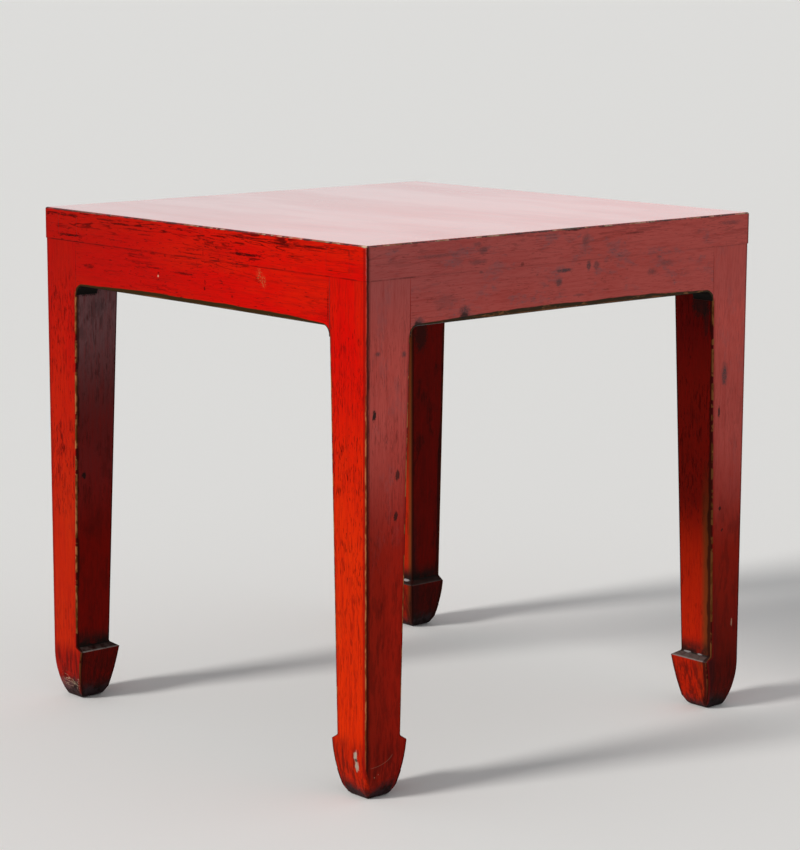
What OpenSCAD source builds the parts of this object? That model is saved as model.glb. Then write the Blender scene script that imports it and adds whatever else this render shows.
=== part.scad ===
// Square waistless vase stand with hoof feet.
// The top is a mitred frame round a floating panel. Legs, aprons and frame are flush outside.
// Origin: centre of the footprint on the floor. +Z up, front is -Y, right is +X.

/* [Overall size] */
// Width of the top, left to right
top_w = 350; // [300:5:420]
// Depth of the top, front to back
top_d = 356; // [300:5:420]
// Height of the stand
stand_h = 357; // [280:5:460]

/* [Top frame] */
// Thickness of the frame members
frame_t = 22; // [21:0.5:26]
// Width of the frame members
frame_w = 52; // [48:1:60]
// Overhang of the frame past the legs and aprons
frame_proud = 0.4; // [0.2:0.1:1.5]
// Flat of the eased outer edges, measured along each face
edge_ease = 1.2; // [0.6:0.1:2]

/* [Corner joints of the frame] */
// Width of the through tenon on the rails
rail_tenon_w = 22; // [19:1:26]
// Thickness of the through tenon on the rails
rail_tenon_t = 14; // [11:0.5:14.5]
// Distance from the side of the stand to the through tenon
rail_tenon_inset = 17; // [14:0.5:18]
// Wood left under the through tenon
rail_tenon_lift = 4; // [3.8:0.1:5]
// Thickness of the tenon wedge at its head
wedge_t = 1.8; // [1.2:0.1:2.4]
// Thickness of the tenon wedge at its tip
wedge_tip_t = 0.6; // [0.4:0.1:1]
// Length of the tenon wedge
wedge_l = 9; // [6:0.5:10]

/* [Panel] */
// Thickness of the panel boards
panel_t = 12; // [11:0.5:12.5]
// Thickness of the tongue round the panel
panel_tongue_t = 5; // [4:0.5:6]
// Length of the tongue round the panel
panel_tongue_l = 6.5; // [5:0.5:9]
// Width of the middle board
middle_board_w = 84; // [60:2:110]
// Thickness of the tongues that join the boards
board_tongue_t = 3; // [2:0.5:3.5]
// Length of the tongues that join the boards
board_tongue_l = 4; // [3:0.5:6]
// Wood above the tongues that join the boards
board_tongue_drop = 4; // [3:0.5:5]

/* [Battens] */
// Width of the battens
batten_w = 24; // [20:1:32]
// Height of the battens below the panel
batten_h = 9; // [8:0.5:9.5]
// Distance between the centre lines of the battens
batten_spacing = 120; // [80:5:150]
// Height of the dovetail key that slides into the boards
key_h = 3.5; // [2.5:0.5:4]
// Widening of the dovetail key on each side
key_flare = 1.6; // [1:0.2:2.4]
// Width of the dovetail key at its neck
key_neck_w = 12; // [9:1:15]
// Thickness of the batten tenons
batten_tenon_t = 5; // [4:0.5:6]
// Length of the batten tenons
batten_tenon_l = 10; // [7:1:14]

/* [Aprons] */
// Height of the aprons at the legs
apron_h = 31.5; // [26:0.5:40]
// Thickness of the aprons
apron_t = 18; // [15:0.5:20]
// Rise of the shallow arch under the aprons
arch_rise = 0.4; // [0.2:0.1:3]
// Radius where the apron turns down into the leg
corner_r = 6.5; // [5:0.5:10]
// Thickness of the apron's feather end at the leg
feather_t = 0.7; // [0.5:0.1:1.2]
// Thickness of the tongue along the top of the aprons
apron_tongue_t = 5; // [4:0.5:6]
// Height of the tongue along the top of the aprons
apron_tongue_h = 3; // [2:0.2:3.2]
// Thickness of the apron tenons
apron_tenon_t = 6; // [5:0.5:8]
// Length of the apron tenons
apron_tenon_l = 15; // [10:1:18]
// Distance from the outer face to the apron tenon and tongue
apron_tenon_inset = 7; // [5:0.5:8.5]
// Shoulder above and below the apron tenons
apron_tenon_shoulder = 4; // [3:0.5:6]

/* [Legs] */
// Width of the legs at the top, both ways
leg_w = 36; // [34:0.5:40]
// Width of the legs just above the hoof
ankle_w = 29; // [26:0.5:32]
// Height over which the outer faces turn in to the sole
turn_h = 31; // [24:1:40]
// Radius of the turn of the outer faces
turn_r = 85; // [70:1:280]
// Angle in degrees at which the turn breaks away from the flat faces
turn_start = 0.75; // [0.5:0.05:2]
// Height that the turn of the outer corner starts above that of the faces
corner_lead = 1; // [0.5:0.1:3]

/* [Leg tenons] */
// Thickness of the tenons on top of the legs
leg_tenon_t = 7; // [5:0.5:8]
// Width of the tenons on top of the legs
leg_tenon_w = 12; // [9:0.5:13]
// Distance from the outer face to the leg tenons
leg_tenon_inset = 11; // [10.5:0.5:12]
// Distance from the leg tenons to the inner face of the leg
leg_tenon_shoulder = 3; // [2:0.5:4]
// Height of the leg tenon that locks the stile and rail
long_tenon_h = 15; // [12:0.5:16]
// Height of the leg tenon that enters the rail
short_tenon_h = 9; // [6:0.5:9.5]

/* [Hoof feet] */
// Distance from the outer face plane to the tip of the hoof
hoof_w = 34.5; // [33:0.1:38]
// Height of the tip of the hoof above the floor
hoof_h = 36.5; // [28:0.5:42]
// Rise of the ledge from the tip up to the leg
ledge_rise = 3.5; // [2:0.5:6]
// Radius of the hollow between the ledge and the leg
ledge_r = 2.5; // [1:0.5:4]
// Radius of the swelling inner faces of the hoof
hoof_r = 330; // [200:10:800]
// Distance from the outer face plane to the inner edge of the sole
sole_w = 26.8; // [25:0.2:31]
// Width worn off the outer edges of the sole
sole_ease = 1.6; // [1:0.1:3]
// Width worn off the inner edges of the sole
heel_ease = 3.2; // [1.5:0.1:4]
// Length of the lower of the two worn flats, as a part of the width worn off
lower_flat = 0.6; // [0.3:0.05:0.8]
// Slope of the lower worn flat in degrees
lower_slope = 30; // [20:1:40]
// Slope of the upper worn flat in degrees
upper_slope = 60; // [50:1:64]

/* [Fits] */
// Clearance beside every tenon, tongue and key
fit_gap = 0.15; // [0.1:0.05:0.3]
// Clearance at the end of every blind tenon and tongue
end_gap = 0.5; // [0.3:0.1:0.8]

/* [Hidden] */

// Colours of the lacquered outside, the bare underside and the end wedges
lacquer = [0.72, 0.09, 0.05];
bare_wood = [0.36, 0.23, 0.14];
wedge_wood = [0.55, 0.38, 0.20];

// A cut reaches this far past the face that it opens, and a tenon this far back into its own piece
past = 1;

// Facets of a full circle in the preview: small radii, the radii of the feet, and the apron's arch
small_fn = 96;
foot_fn = 1080;
arch_fn = 2880;

frame_z = stand_h - frame_t;
body_w = top_w - 2 * frame_proud;
body_d = top_d - 2 * frame_proud;
opening_w = top_w - 2 * frame_w;
opening_d = top_d - 2 * frame_w;
panel_z = stand_h - panel_t;
taper_top = frame_z - apron_h - corner_r;
tenon_top = frame_z + rail_tenon_lift + rail_tenon_t;

// Hoof: a line for the ledge, and a circle through the tip and the inner edge of the sole
ledge_z = hoof_h + ledge_rise;
ledge_slope = ledge_rise / (hoof_w - ankle_w);
chord = [hoof_w - sole_w, hoof_h];
chord_l = norm(chord);
hoof_centre = [sole_w, 0] + chord / 2
    + [-chord[1], chord[0]] / chord_l * sqrt(hoof_r ^ 2 - chord_l ^ 2 / 4);

// How far the outer faces have turned in at the sole
turn_in = turn_r * cos(turn_start) - sqrt(turn_r ^ 2 - (turn_h + turn_r * sin(turn_start)) ^ 2);

// Side view of a leg: x is measured inwards from the outer face, y upwards from the floor
module shank_profile() {
    polygon([
        [0, 0], [sole_w / 2, 0], [ankle_w, ledge_z], [leg_w, taper_top], [leg_w, frame_z], [0, frame_z]
    ]);
}

module hoof_profile() {
    intersection() {
        polygon([
            [0, 0],
            [hoof_w, 0],
            [hoof_w + past, hoof_h - ledge_slope * past],
            [ankle_w, ledge_z],
            [0, ledge_z]
        ]);
        translate(hoof_centre) circle(r = hoof_r, $fn = foot_fn);
    }
}

// Hollow that eases the ledge of the hoof into the inner face of the leg
module ledge_hollow() {
    lean = atan((leg_w - ankle_w) / (taper_top - ledge_z));
    fall = atan(ledge_slope);
    tangent_l = ledge_r / tan((90 + fall + lean) / 2);
    along_ledge = [ankle_w + tangent_l * cos(fall), ledge_z - tangent_l * sin(fall)];
    up_leg = [ankle_w + tangent_l * sin(lean), ledge_z + tangent_l * cos(lean)];
    centre = along_ledge + ledge_r * [sin(fall), cos(fall)];
    difference() {
        polygon([[ankle_w - tangent_l, ledge_z - tangent_l], along_ledge, up_leg]);
        translate(centre) circle(r = ledge_r, $fn = small_fn);
    }
}

// Everything inside a flat face at x = start and its turn towards the sole, which begins at a height
module turned_profile(start, height, radius, angle) {
    intersection() {
        translate([start, -past]) square([2 * leg_w, height + stand_h]);
        union() {
            translate([start + radius * cos(angle), height + radius * sin(angle)])
                circle(r = radius, $fn = foot_fn);
            translate([start, height]) square([2 * leg_w, stand_h]);
        }
    }
}

// What is worn off an edge of the sole, in two flats: out is -1 for an outer edge and 1 for an inner one
module worn_edge(sole_x, width, out) {
    knee = [sole_x, 0] + lower_flat * width * [out * cos(lower_slope), sin(lower_slope)];
    polygon([
        [sole_x, -past],
        [sole_x, 0],
        knee,
        knee + 2 * leg_w * [out * cos(upper_slope), sin(upper_slope)],
        [sole_x + 3 * out * leg_w, -past]
    ]);
}

module sole_edges() {
    worn_edge(turn_in + sole_ease, sole_ease, -1);
    worn_edge(sole_w - heel_ease, heel_ease, 1);
}

module leg_profile() {
    difference() {
        intersection() {
            union() {
                shank_profile();
                hoof_profile();
                ledge_hollow();
            }
            turned_profile(0, turn_h, turn_r, turn_start);
        }
        sole_edges();
    }
}

// A leg with its outer corner at the origin, before mortises and tenons. Its two side views cross,
// so that the hoof, the ledge and the turn meet on mitred lines. The third cut eases the outer corner:
// it is seen on the diagonal, where the slope of the two faces' turn is steeper by the root of 2.
module leg_blank() {
    intersection() {
        translate([0, 2 * leg_w, 0]) rotate([90, 0, 0]) linear_extrude(2 * leg_w) leg_profile();
        rotate([90, 0, 90]) linear_extrude(2 * leg_w) leg_profile();
        rotate([0, 0, 45]) rotate([90, 0, 0]) translate([0, 0, -2 * leg_w])
            linear_extrude(4 * leg_w)
                turned_profile(
                    edge_ease / sqrt(2),
                    turn_h + corner_lead,
                    turn_r / sqrt(2),
                    atan(sqrt(2) * tan(turn_start))
                );
    }
}

// Tenons on top of a leg, grown by a gap when they are used to cut their mortises.
// Both run the same distance inside the outer face, one along each side of the corner.
module long_leg_tenon(side_gap = 0, top_gap = 0) {
    start = leg_w - leg_tenon_shoulder - leg_tenon_w;
    translate([start - side_gap, leg_tenon_inset - side_gap, frame_z - past])
        cube([leg_tenon_w + 2 * side_gap, leg_tenon_t + 2 * side_gap, past + long_tenon_h + top_gap]);
}

module short_leg_tenon(side_gap = 0, top_gap = 0) {
    start = leg_w - leg_tenon_shoulder - leg_tenon_w;
    translate([leg_tenon_inset - side_gap, start - side_gap, frame_z - past])
        cube([leg_tenon_t + 2 * side_gap, leg_tenon_w + 2 * side_gap, past + short_tenon_h + top_gap]);
}

// Mortise for the apron that runs along x, opening on the inner face of the leg
module apron_mortise() {
    translate([
        leg_w - apron_tenon_l - end_gap,
        apron_tenon_inset - fit_gap,
        frame_z - apron_h + apron_tenon_shoulder - fit_gap
    ])
        cube([
            apron_tenon_l + end_gap + past,
            apron_tenon_t + 2 * fit_gap,
            apron_h - 2 * apron_tenon_shoulder + 2 * fit_gap
        ]);
}

module leg() {
    difference() {
        leg_blank();
        apron_mortise();
        mirror([1, -1, 0]) apron_mortise();
    }
    long_leg_tenon();
    short_leg_tenon();
}

// Moves a child from the corner at the origin to a corner of the legs: sx and sy are -1 or 1
module at_leg_corner(sx, sy) {
    flip_x = sx > 0 ? 1 : 0;
    flip_y = sy > 0 ? 1 : 0;
    translate([sx * body_w / 2, sy * body_d / 2, 0])
        mirror([flip_x, 0, 0]) mirror([0, flip_y, 0]) children();
}

// A child and its mirror image on the right
module at_both_ends() {
    children();
    mirror([1, 0, 0]) children();
}

// Through tenon of a rail, measured from the front left corner of the frame
module rail_tenon(side_gap = 0, front = 0) {
    translate([
        -top_w / 2 + rail_tenon_inset - side_gap,
        -top_d / 2 - front,
        frame_z + rail_tenon_lift - side_gap
    ])
        cube([rail_tenon_w + 2 * side_gap, frame_w + front, rail_tenon_t + 2 * side_gap]);
}

// Wedge in the outer end of the through tenon at the front left corner
module tenon_wedge() {
    translate([-top_w / 2 + rail_tenon_inset + rail_tenon_w / 2, -top_d / 2, frame_z + rail_tenon_lift])
        linear_extrude(rail_tenon_t)
            polygon([
                [-wedge_t / 2, 0], [wedge_t / 2, 0], [wedge_tip_t / 2, wedge_l], [-wedge_tip_t / 2, wedge_l]
            ]);
}

// Plan of a frame member that lies along the front, with mitred ends and eased outer corners
module mitred_plan(length, width) {
    ease = edge_ease;
    polygon([
        [-length / 2 + ease, 0],
        [length / 2 - ease, 0],
        [length / 2 - ease / 2, ease / 2],
        [length / 2 - width, width],
        [-length / 2 + width, width],
        [-length / 2 + ease / 2, ease / 2]
    ]);
}

// Frame member along x with its outer face on y = 0: mitres, panel groove, groove for the apron's
// tongue and the eased upper edge
module frame_member(length) {
    groove_l = length - 2 * frame_w + 2 * panel_tongue_l + 2 * end_gap;
    apron_l = length - 2 * frame_proud - 2 * leg_w;
    tongue_y = frame_proud + apron_tenon_inset;
    difference() {
        translate([0, 0, frame_z]) linear_extrude(frame_t) mitred_plan(length, frame_w);
        translate([-groove_l / 2, frame_w - panel_tongue_l - end_gap, panel_z - fit_gap])
            cube([groove_l, frame_w, panel_tongue_t + 2 * fit_gap]);
        translate([-apron_l / 2, tongue_y - fit_gap, frame_z - past])
            cube([apron_l, apron_tongue_t + 2 * fit_gap, apron_tongue_h + end_gap + past]);
        translate([0, edge_ease, stand_h]) rotate([45, 0, 0])
            translate([-length, -edge_ease * sqrt(2), 0]) cube([2 * length, 2 * edge_ease, edge_ease]);
    }
}

// Mortises for the ends of the battens, in the inner edge of the front stile
module batten_mortises() {
    for (sx = [-1, 1])
        translate([
            sx * batten_spacing / 2 - key_neck_w / 2 - fit_gap,
            -opening_d / 2 - batten_tenon_l - end_gap,
            panel_z - batten_h / 2 - batten_tenon_t / 2 - fit_gap
        ])
            cube([key_neck_w + 2 * fit_gap, batten_tenon_l + end_gap + past, batten_tenon_t + 2 * fit_gap]);
}

module stile() {
    difference() {
        translate([0, -top_d / 2, 0]) frame_member(top_w);
        at_both_ends() {
            rail_tenon(fit_gap, past);
            at_leg_corner(-1, -1) long_leg_tenon(fit_gap, end_gap);
        }
        batten_mortises();
    }
}

module rail() {
    difference() {
        union() {
            translate([-top_w / 2, 0, 0]) rotate([0, 0, -90]) frame_member(top_d);
            for (flip = [0, 1]) mirror([0, flip, 0]) rail_tenon();
        }
        for (flip = [0, 1])
            mirror([0, flip, 0]) {
                tenon_wedge();
                at_leg_corner(-1, -1) {
                    long_leg_tenon(fit_gap, end_gap);
                    short_leg_tenon(fit_gap, end_gap);
                }
            }
    }
}

module front_stile() {
    color(lacquer) stile();
}

module rear_stile() {
    color(lacquer) mirror([0, 1, 0]) stile();
}

module left_rail() {
    color(lacquer) rail();
}

module right_rail() {
    color(lacquer) mirror([1, 0, 0]) rail();
}

module tenon_wedges() {
    color(wedge_wood)
        for (flip = [0, 1]) mirror([0, flip, 0]) at_both_ends() tenon_wedge();
}

// A panel board that covers y from near_y to far_y, with the tongue that enters the frame at both
// ends and, where asked, along its near or far edge
module board(near_y, far_y, near_tongue, far_tongue) {
    tongue_near = near_y - (near_tongue ? panel_tongue_l : 0);
    tongue_far = far_y + (far_tongue ? panel_tongue_l : 0);
    difference() {
        union() {
            translate([-opening_w / 2, near_y, panel_z]) cube([opening_w, far_y - near_y, panel_t]);
            translate([-opening_w / 2 - panel_tongue_l, tongue_near, panel_z])
                cube([opening_w + 2 * panel_tongue_l, tongue_far - tongue_near, panel_tongue_t]);
        }
        for (sx = [-1, 1]) translate([sx * batten_spacing / 2, 0, 0]) batten_key(fit_gap, fit_gap);
    }
}

// Tongue, or with gaps its groove, that joins the middle board to the board beyond far_y
module board_tongue(far_y, side_gap = 0, tip_gap = 0) {
    open_end = side_gap > 0 ? past : 0;
    translate([
        -opening_w / 2 - open_end,
        far_y - past,
        stand_h - board_tongue_drop - board_tongue_t - side_gap
    ])
        cube([opening_w + 2 * open_end, past + board_tongue_l + tip_gap, board_tongue_t + 2 * side_gap]);
}

// Dovetail key on top of a batten, or with gaps the slot that it slides in
module batten_key(side_gap = 0, top_gap = 0) {
    neck = key_neck_w / 2 + side_gap;
    key_l = opening_d + (side_gap > 0 ? 2 * frame_w : 0);
    translate([0, key_l / 2, panel_z]) rotate([90, 0, 0]) linear_extrude(key_l)
        polygon([
            [-neck, -past],
            [neck, -past],
            [neck, 0],
            [neck + key_flare, key_h + top_gap],
            [-neck - key_flare, key_h + top_gap],
            [-neck, 0]
        ]);
}

module edge_board() {
    difference() {
        board(-opening_d / 2, -middle_board_w / 2, true, false);
        mirror([0, 1, 0]) board_tongue(middle_board_w / 2, fit_gap, end_gap);
    }
}

module front_panel_board() {
    color(lacquer) edge_board();
}

module middle_panel_board() {
    color(lacquer) {
        board(-middle_board_w / 2, middle_board_w / 2, false, false);
        board_tongue(middle_board_w / 2);
        mirror([0, 1, 0]) board_tongue(middle_board_w / 2);
    }
}

module rear_panel_board() {
    color(lacquer) mirror([0, 1, 0]) edge_board();
}

module batten() {
    translate([-batten_w / 2, -opening_d / 2, panel_z - batten_h]) cube([batten_w, opening_d, batten_h]);
    batten_key();
    translate([
        -key_neck_w / 2,
        -opening_d / 2 - batten_tenon_l,
        panel_z - batten_h / 2 - batten_tenon_t / 2
    ])
        cube([key_neck_w, opening_d + 2 * batten_tenon_l, batten_tenon_t]);
}

module left_batten() {
    color(bare_wood) translate([-batten_spacing / 2, 0, 0]) batten();
}

module right_batten() {
    color(bare_wood) translate([batten_spacing / 2, 0, 0]) batten();
}

// Face of an apron between two legs: a very shallow arch with a small radius at each leg
module apron_face(clear) {
    half = clear / 2;
    low = frame_z - apron_h;
    spring = half - corner_r - feather_t;
    arch_r = (spring ^ 2 + arch_rise ^ 2) / (2 * arch_rise);
    difference() {
        translate([-half, low]) square([clear, apron_h]);
        translate([0, low + arch_rise - arch_r]) circle(r = arch_r, $fn = arch_fn);
    }
    for (side = [-1, 1])
        difference() {
            translate([side * (half - (corner_r + feather_t) / 2), low - corner_r / 2 + feather_t / 2])
                square([corner_r + feather_t, corner_r + feather_t], center = true);
            translate([side * spring, low - corner_r]) circle(r = corner_r, $fn = small_fn);
        }
}

// Apron along x, between the front legs when span is the width over the legs
module apron(span) {
    clear = span - 2 * leg_w;
    translate([0, apron_t, 0]) rotate([90, 0, 0]) linear_extrude(apron_t) apron_face(clear);
    translate([-clear / 2, apron_tenon_inset, frame_z - feather_t])
        cube([clear, apron_tongue_t, apron_tongue_h + feather_t]);
    translate([-clear / 2 - apron_tenon_l, apron_tenon_inset, frame_z - apron_h + apron_tenon_shoulder])
        cube([clear + 2 * apron_tenon_l, apron_tenon_t, apron_h - 2 * apron_tenon_shoulder]);
}

module front_apron() {
    color(lacquer) translate([0, -body_d / 2, 0]) apron(body_w);
}

module rear_apron() {
    color(lacquer) mirror([0, 1, 0]) translate([0, -body_d / 2, 0]) apron(body_w);
}

module left_apron() {
    color(lacquer) translate([-body_w / 2, 0, 0]) rotate([0, 0, -90]) apron(body_d);
}

module right_apron() {
    color(lacquer) translate([body_w / 2, 0, 0]) rotate([0, 0, 90]) apron(body_d);
}

module front_left_leg() {
    color(lacquer) at_leg_corner(-1, -1) leg();
}

module front_right_leg() {
    color(lacquer) at_leg_corner(1, -1) leg();
}

module rear_left_leg() {
    color(lacquer) at_leg_corner(-1, 1) leg();
}

module rear_right_leg() {
    color(lacquer) at_leg_corner(1, 1) leg();
}

front_stile();
rear_stile();
left_rail();
right_rail();
tenon_wedges();
front_panel_board();
middle_panel_board();
rear_panel_board();
left_batten();
right_batten();
front_apron();
rear_apron();
left_apron();
right_apron();
front_left_leg();
front_right_leg();
rear_left_leg();
rear_right_leg();
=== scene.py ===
"""Looks of a square vase stand in worn red lacquer, standing on a plain pale floor."""

import math

import bmesh
import bpy
from mathutils import Matrix, Vector


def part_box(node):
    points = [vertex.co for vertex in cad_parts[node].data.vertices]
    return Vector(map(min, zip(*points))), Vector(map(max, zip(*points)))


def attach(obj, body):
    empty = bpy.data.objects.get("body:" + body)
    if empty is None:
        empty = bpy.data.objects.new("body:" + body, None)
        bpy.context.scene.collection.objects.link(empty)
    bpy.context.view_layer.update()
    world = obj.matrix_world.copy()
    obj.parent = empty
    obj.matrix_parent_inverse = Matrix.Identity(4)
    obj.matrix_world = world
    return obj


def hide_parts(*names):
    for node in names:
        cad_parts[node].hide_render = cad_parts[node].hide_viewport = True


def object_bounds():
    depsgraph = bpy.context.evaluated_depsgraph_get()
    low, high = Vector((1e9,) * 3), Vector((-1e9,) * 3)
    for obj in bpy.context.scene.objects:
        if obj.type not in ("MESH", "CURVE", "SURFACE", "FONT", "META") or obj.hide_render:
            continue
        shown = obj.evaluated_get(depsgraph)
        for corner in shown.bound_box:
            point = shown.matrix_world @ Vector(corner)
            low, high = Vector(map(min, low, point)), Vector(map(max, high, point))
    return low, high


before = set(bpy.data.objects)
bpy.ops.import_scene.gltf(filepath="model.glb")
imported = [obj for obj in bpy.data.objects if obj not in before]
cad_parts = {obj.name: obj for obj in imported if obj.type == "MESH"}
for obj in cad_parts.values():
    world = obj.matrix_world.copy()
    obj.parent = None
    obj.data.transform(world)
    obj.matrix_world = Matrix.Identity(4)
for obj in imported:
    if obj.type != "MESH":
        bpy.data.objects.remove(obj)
cad_bounds = [list(corner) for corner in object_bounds()]

MM = 0.001

STILES = ["front_stile", "rear_stile"]
RAILS = ["left_rail", "right_rail"]
BOARDS = ["front_panel_board", "middle_panel_board", "rear_panel_board"]
APRONS_X = ["front_apron", "rear_apron"]
APRONS_Y = ["left_apron", "right_apron"]
LEGS = ["front_left_leg", "front_right_leg", "rear_left_leg", "rear_right_leg"]
BATTENS = ["left_batten", "right_batten"]
WEDGES = ["tenon_wedges"]


def in_mm(corner):
    """A corner of a box in millimetres, to a thousandth."""
    return [round(value / MM, 3) for value in corner]


# Sizes in millimetres that the frame gives
half_w, half_d, STAND_H = in_mm(cad_bounds[1])
leg_low, leg_high = (in_mm(corner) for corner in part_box("rear_right_leg"))
TOP_W, TOP_D = 2 * half_w, 2 * half_d
BODY_W, BODY_D = 2 * leg_high[0], 2 * leg_high[1]
LEG_W = leg_high[0] - leg_low[0]
FRAME_Z = in_mm(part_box("rear_stile")[0])[2]
TAPER_TOP = in_mm(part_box("rear_apron")[0])[2]

# Sizes in millimetres that no box gives, as in the CAD source
ARCH_RISE, CORNER_R, FEATHER = 0.4, 6.5, 0.7
APRON_Z = TAPER_TOP + CORNER_R
ANKLE_W = 29.0
HOOF_W, HOOF_H, LEDGE_RISE, SOLE_W = 34.5, 36.5, 3.5, 26.8
LEDGE_Z = HOOF_H + LEDGE_RISE
TURN_H, TURN_R = 31.0, 85.0
TENON_W, TENON_T, TENON_INSET, TENON_LIFT = 22.0, 14.0, 17.0, 4.0
TENON_X = TOP_W / 2 - TENON_INSET - TENON_W / 2
TENON_Z = FRAME_Z + TENON_LIFT + TENON_T / 2

# Scratches on the feet in millimetres: an arc of an ellipse, and a spot with wavy ones
ARC_Y, ARC_Z, ARC_HALF_Y, ARC_HALF_Z = -172.5, 31.0, 17.5, 8.5
WAVY_CENTRE, WAVY_RADII = (-156.0, -176.0, 12.0), (11.0, 6.0, 5.5)


# Worn edges

# Widths of the roundings in millimetres
JOINT_EDGE = 0.06
FRAME_EDGE = 0.3
CORNER_EDGE = 0.35
SHANK_EDGE, HOOF_EDGE = 0.9, 0.6
APRON_FACE_EDGE, APRON_BACK_EDGE, APRON_END_EDGE = 1.9, 0.5, 0.3
APRON_EDGE_GROWTH = 0.25

# Distances in millimetres within which the middle of an edge belongs to a face, a corner or a joint
OUTER_REACH, INNER_REACH = 1.9, 2.5
CORNER_NEAR, CORNER_FAR = 2.0, 4.0
RIM_REACH, TOP_REACH = 1.5, 2.0
JOINT_REACH, LEG_TOP_REACH, SOLE_REACH = 1.0, 0.5, 1.0
FLUSH_REACH, END_REACH, FEATHER_REACH = 0.1, 0.05, 0.3
PAST_END = 0.01

# Widest rounding and merging distance in millimetres, and the angles that tell edges from flat places
BEVEL_W, BEVEL_SEGMENTS = 2.0, 2
MERGE_REACH = 0.002
FLAT_ANGLE = math.radians(0.3)
EDGE_ANGLE = math.radians(22)
SHADE_ANGLE = math.radians(28)


def leg_inner_width(z):
    """Distance from the outer face plane to the inner face of a leg at height z."""
    if z >= TAPER_TOP:
        return LEG_W
    if z >= LEDGE_Z:
        share = (z - LEDGE_Z) / (TAPER_TOP - LEDGE_Z)
        return ANKLE_W + share * (LEG_W - ANKLE_W)
    if z >= HOOF_H:
        return HOOF_W - (z - HOOF_H) / LEDGE_RISE * (HOOF_W - ANKLE_W)
    return SOLE_W + z / HOOF_H * (HOOF_W - SOLE_W)


def leg_edge_width(a, b):
    """Width of the rounding on the leg edge from a to b, or 0 where it stays sharp."""
    mid = (a + b) / 2
    near, far = sorted((BODY_W / 2 - abs(mid.x), BODY_D / 2 - abs(mid.y)))
    covered = mid.z > FRAME_Z - LEG_TOP_REACH
    inside = mid.z > SOLE_REACH and OUTER_REACH < near < leg_inner_width(mid.z) - INNER_REACH
    if covered or inside:
        return 0.0
    on_corner = near < CORNER_NEAR and far < CORNER_FAR
    if mid.z > TAPER_TOP - JOINT_REACH:
        upright = abs(b.z - a.z) > 0.5 * (b - a).length
        return CORNER_EDGE if on_corner and upright else JOINT_EDGE
    if on_corner:
        return CORNER_EDGE
    return SHANK_EDGE if mid.z > HOOF_H else HOOF_EDGE


def apron_edge_width(name, mid):
    """Width of the rounding on the apron edge round mid: it grows from the feathered end upwards."""
    if name in APRONS_X:
        out, along, half = BODY_D / 2 - abs(mid.y), abs(mid.x), BODY_W / 2 - LEG_W
    else:
        out, along, half = BODY_W / 2 - abs(mid.x), abs(mid.y), BODY_D / 2 - LEG_W
    covered = along > half + PAST_END or mid.z > FRAME_Z - JOINT_REACH
    on_feather = along > half - FEATHER_REACH and mid.z < APRON_Z
    if covered or on_feather:
        return 0.0
    if along > half - END_REACH:
        return JOINT_EDGE
    widest = APRON_FACE_EDGE if out < FLUSH_REACH else APRON_BACK_EDGE
    return min(widest, APRON_END_EDGE + APRON_EDGE_GROWTH * max(mid.z - TAPER_TOP, 0.0))


def member_edge_width(mid):
    """Width of the rounding on the frame edge round mid: the top arrises and the corners are worn."""
    near, far = sorted((TOP_W / 2 - abs(mid.x), TOP_D / 2 - abs(mid.y)))
    worn = near < RIM_REACH and (far < RIM_REACH or mid.z > STAND_H - TOP_REACH)
    return FRAME_EDGE if worn else 0.0


def edge_width(name, a, b):
    """Width of the rounding on the edge from a to b of a piece, all in mm."""
    if name in LEGS:
        return leg_edge_width(a, b)
    if name in APRONS_X + APRONS_Y:
        return apron_edge_width(name, (a + b) / 2)
    return member_edge_width((a + b) / 2)


def weighted_mesh(name):
    """A copy of a CAD node's mesh with the width of each worn edge as its bevel weight."""
    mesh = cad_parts[name].data.copy()
    bm = bmesh.new()
    bm.from_mesh(mesh)
    bmesh.ops.remove_doubles(bm, verts=bm.verts, dist=MERGE_REACH * MM)
    bmesh.ops.dissolve_limit(bm, angle_limit=FLAT_ANGLE, verts=bm.verts, edges=bm.edges)
    weights = bm.edges.layers.float.new("bevel_weight_edge")
    for edge in bm.edges:
        if len(edge.link_faces) == 2 and edge.is_convex and edge.calc_face_angle() > EDGE_ANGLE:
            a, b = (v.co / MM for v in edge.verts)
            edge[weights] = min(edge_width(name, a, b) / BEVEL_W, 1.0)
    bm.to_mesh(mesh)
    bm.free()
    for data in list(mesh.attributes):
        if data.name in ("custom_normal", "sharp_edge", "sharp_face"):
            mesh.attributes.remove(data)
    return mesh


def worn_copy(name):
    """A visible copy of a CAD node with its real edges rounded; the node itself stays as it is."""
    mesh = weighted_mesh(name)
    piece = bpy.data.objects.new(name + ".worn", mesh)
    bpy.context.scene.collection.objects.link(piece)
    bevel = piece.modifiers.new("worn", "BEVEL")
    bevel.limit_method = "WEIGHT"
    bevel.width = BEVEL_W * MM
    bevel.segments = BEVEL_SEGMENTS
    bevel.use_clamp_overlap = False
    evaluated = piece.evaluated_get(bpy.context.evaluated_depsgraph_get())
    rounded = bpy.data.meshes.new_from_object(evaluated)
    rounded.name = name + ".worn"
    piece.modifiers.clear()
    piece.data = rounded
    bpy.data.meshes.remove(mesh)
    rounded.shade_smooth()
    rounded.set_sharp_from_angle(angle=SHADE_ANGLE)
    weighted = piece.modifiers.new("normals", "WEIGHTED_NORMAL")
    weighted.keep_sharp = True
    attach(piece, "root")
    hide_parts(name)
    return piece


# Node arithmetic

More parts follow.
